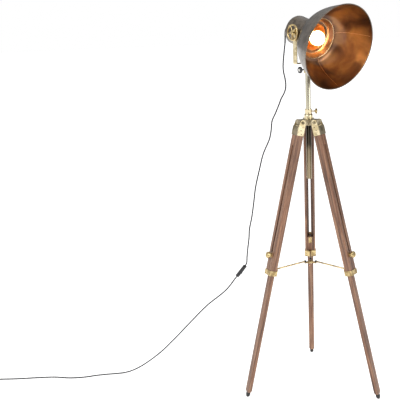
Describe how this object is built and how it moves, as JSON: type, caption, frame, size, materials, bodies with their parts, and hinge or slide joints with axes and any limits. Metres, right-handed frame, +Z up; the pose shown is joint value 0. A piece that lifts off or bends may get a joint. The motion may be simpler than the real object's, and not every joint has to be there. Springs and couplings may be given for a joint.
{
  "type": "tripod floor lamp",
  "caption": "Floor lamp on a folding wooden tripod with a telescopic post and a tilting parabolic bowl shade in a yoke, with an inline switch on its flex.",
  "frame": {"origin": "centre of the footprint of the lamp without its flex, on the floor", "axes": "+Z up; the back leg points to +Y, the shade faces between +X and -Y"},
  "size_m": [1.9104, 0.603, 1.682],
  "materials": {
    "wood": "oiled reddish-brown hardwood",
    "aged_brass": "aged, half polished",
    "bright_brass": "polished, silvery",
    "bronze": "dark bronze outside, copper inside",
    "porcelain": "glazed",
    "bulb_glass": "lit, frosted",
    "black_plastic": "satin",
    "black_rubber": "matt",
    "flex": "satin sheath"
  },
  "bodies": {
    "hub": {"hub": "aged_brass", "post_collar": "aged_brass", "leg_1_pivot_bolt": "aged_brass", "leg_2_pivot_bolt": "aged_brass", "leg_3_pivot_bolt": "aged_brass", "cord_hanging": "flex", "cord_on_floor": "flex", "cord_coil": "flex", "switch_body": "black_plastic", "plug": "black_plastic"},
    "leg_1": {"leg_1_rail_left": "wood", "leg_1_rail_right": "wood", "leg_1_bracket": "aged_brass", "leg_1_top_block": "wood", "leg_1_ferrule": "aged_brass"},
    "leg_1_lock": {"leg_1_lock_knob": "aged_brass"},
    "leg_1_lower": {"leg_1_stile": "wood", "leg_1_foot": "black_rubber"},
    "rod_1": {"rod_1": "aged_brass"},
    "leg_2": {"leg_2_rail_left": "wood", "leg_2_rail_right": "wood", "leg_2_bracket": "aged_brass", "leg_2_top_block": "wood", "leg_2_ferrule": "aged_brass"},
    "leg_2_lock": {"leg_2_lock_knob": "aged_brass"},
    "leg_2_lower": {"leg_2_stile": "wood", "leg_2_foot": "black_rubber"},
    "rod_2": {"rod_2": "aged_brass"},
    "leg_3": {"leg_3_rail_left": "wood", "leg_3_rail_right": "wood", "leg_3_bracket": "aged_brass", "leg_3_top_block": "wood", "leg_3_ferrule": "aged_brass"},
    "leg_3_lock": {"leg_3_lock_knob": "aged_brass"},
    "leg_3_lower": {"leg_3_stile": "wood", "leg_3_foot": "black_rubber"},
    "rod_3": {"rod_3": "aged_brass"},
    "spider": {"spider": "aged_brass"},
    "thumbscrew": {"post_thumbscrew": "aged_brass"},
    "post": {"post": "bright_brass", "cord_at_yoke": "flex"},
    "yoke": {"yoke_sleeve": "aged_brass", "yoke": "aged_brass", "cord_at_head": "flex"},
    "sleeve_knob": {"sleeve_knob": "black_plastic"},
    "head": {"shade": "bronze", "housing": "bronze", "back_cap": "bronze", "lamp_holder": "porcelain", "bulb": "bulb_glass", "cord_gland": "black_plastic", "trunnion_near": "aged_brass", "trunnion_far": "aged_brass"},
    "handwheel_near": {"handwheel_near": "aged_brass"},
    "handwheel_far": {"handwheel_far": "aged_brass"},
    "rocker": {"switch_rocker": "black_plastic"}
  },
  "joints": [
    {"name": "leg_1_fold", "type": "hinge", "parent": "hub", "child": "leg_1", "pos_m": [0, 0.00694, 1.198], "axis": [-1, 0, 0], "range_deg": [0, 9]},
    {"name": "leg_2_fold", "type": "hinge", "parent": "hub", "child": "leg_2", "pos_m": [-0.03464, -0.05305, 1.198], "axis": [0.5, -0.866, 0], "range_deg": [0, 9]},
    {"name": "leg_3_fold", "type": "hinge", "parent": "hub", "child": "leg_3", "pos_m": [0.03464, -0.05305, 1.198], "axis": [0.5, 0.866, 0], "range_deg": [0, 9]},
    {"name": "rod_1_swing", "type": "hinge", "parent": "leg_1", "child": "rod_1", "pos_m": [0, 0.13892, 0.56625], "axis": [-1, 0, 0], "range_deg": [0, 59.04]},
    {"name": "rod_2_swing", "type": "hinge", "parent": "leg_2", "child": "rod_2", "pos_m": [-0.14893, -0.11904, 0.56625], "axis": [0.5, -0.866, 0], "range_deg": [0, 59.04]},
    {"name": "rod_3_swing", "type": "hinge", "parent": "leg_3", "child": "rod_3", "pos_m": [0.14893, -0.11904, 0.56625], "axis": [0.5, 0.866, 0], "range_deg": [0, 59.04]},
    {"name": "spider_rise", "type": "slide", "parent": "hub", "child": "spider", "axis": [0, 0, 1], "range_m": [0, 0.11485]},
    {"name": "leg_1_length", "type": "slide", "parent": "leg_1", "child": "leg_1_lower", "axis": [0, 0.2383, -0.9712], "range_m": [-0.4, 0.04]},
    {"name": "leg_1_lock_turn", "type": "hinge", "parent": "leg_1", "child": "leg_1_lock", "pos_m": [0, 0.14637, 0.62986], "axis": [0, 0.9712, 0.2383], "range_deg": [0, 360]},
    {"name": "leg_2_length", "type": "slide", "parent": "leg_2", "child": "leg_2_lower", "axis": [-0.2064, -0.1192, -0.9712], "range_m": [-0.4, 0.04]},
    {"name": "leg_2_lock_turn", "type": "hinge", "parent": "leg_2", "child": "leg_2_lock", "pos_m": [-0.15539, -0.12277, 0.62986], "axis": [-0.8411, -0.4856, 0.2383], "range_deg": [0, 360]},
    {"name": "leg_3_length", "type": "slide", "parent": "leg_3", "child": "leg_3_lower", "axis": [0.2064, -0.1192, -0.9712], "range_m": [-0.4, 0.04]},
    {"name": "leg_3_lock_turn", "type": "hinge", "parent": "leg_3", "child": "leg_3_lock", "pos_m": [0.15539, -0.12277, 0.62986], "axis": [0.8411, -0.4856, 0.2383], "range_deg": [0, 360]},
    {"name": "thumbscrew_turn", "type": "hinge", "parent": "hub", "child": "thumbscrew", "pos_m": [0.02, -0.03306, 1.242], "axis": [1, 0, 0], "range_deg": [0, 360]},
    {"name": "post_height", "type": "slide", "parent": "hub", "child": "post", "axis": [0, 0, 1], "range_m": [-0.14, 0.12], "deforming": ["cord_hanging"]},
    {"name": "yoke_pan", "type": "hinge", "parent": "post", "child": "yoke", "pos_m": [0, -0.03306, 1.4], "axis": [0, 0, 1], "range_deg": [-170, 170], "deforming": ["cord_at_yoke"]},
    {"name": "sleeve_knob_turn", "type": "hinge", "parent": "yoke", "child": "sleeve_knob", "pos_m": [-0.02291, -0.05242, 1.419], "axis": [-0.7638, -0.6455, 0], "range_deg": [0, 360]},
    {"name": "shade_tilt", "type": "hinge", "parent": "yoke", "child": "head", "pos_m": [0, -0.03306, 1.575], "axis": [0.7638, 0.6455, 0], "range_deg": [-60, 9], "deforming": ["cord_at_head"]},
    {"name": "handwheel_near_turn", "type": "hinge", "parent": "head", "child": "handwheel_near", "pos_m": [-0.05958, -0.0834, 1.575], "axis": [-0.7638, -0.6455, 0], "range_deg": [0, 360]},
    {"name": "handwheel_far_turn", "type": "hinge", "parent": "head", "child": "handwheel_far", "pos_m": [0.05958, 0.01729, 1.575], "axis": [0.7638, 0.6455, 0], "range_deg": [0, 360]},
    {"name": "rocker_press", "type": "hinge", "parent": "hub", "child": "rocker", "pos_m": [-0.31281, 0.05785, 0.4963], "axis": [0.0512, 0.9941, -0.096], "range_deg": [0, 14]}
  ],
  "couplings": [
    {"joint": "leg_2_fold", "follows": "leg_1_fold", "ratio": 1},
    {"joint": "leg_3_fold", "follows": "leg_1_fold", "ratio": 1},
    {"joint": "rod_1_swing", "follows": "leg_1_fold", "ratio": 6.5047},
    {"joint": "rod_2_swing", "follows": "leg_1_fold", "ratio": 6.5047},
    {"joint": "rod_3_swing", "follows": "leg_1_fold", "ratio": 6.5047},
    {"joint": "spider_rise", "follows": "leg_1_fold", "m_per_rad": 0.72478}
  ]
}
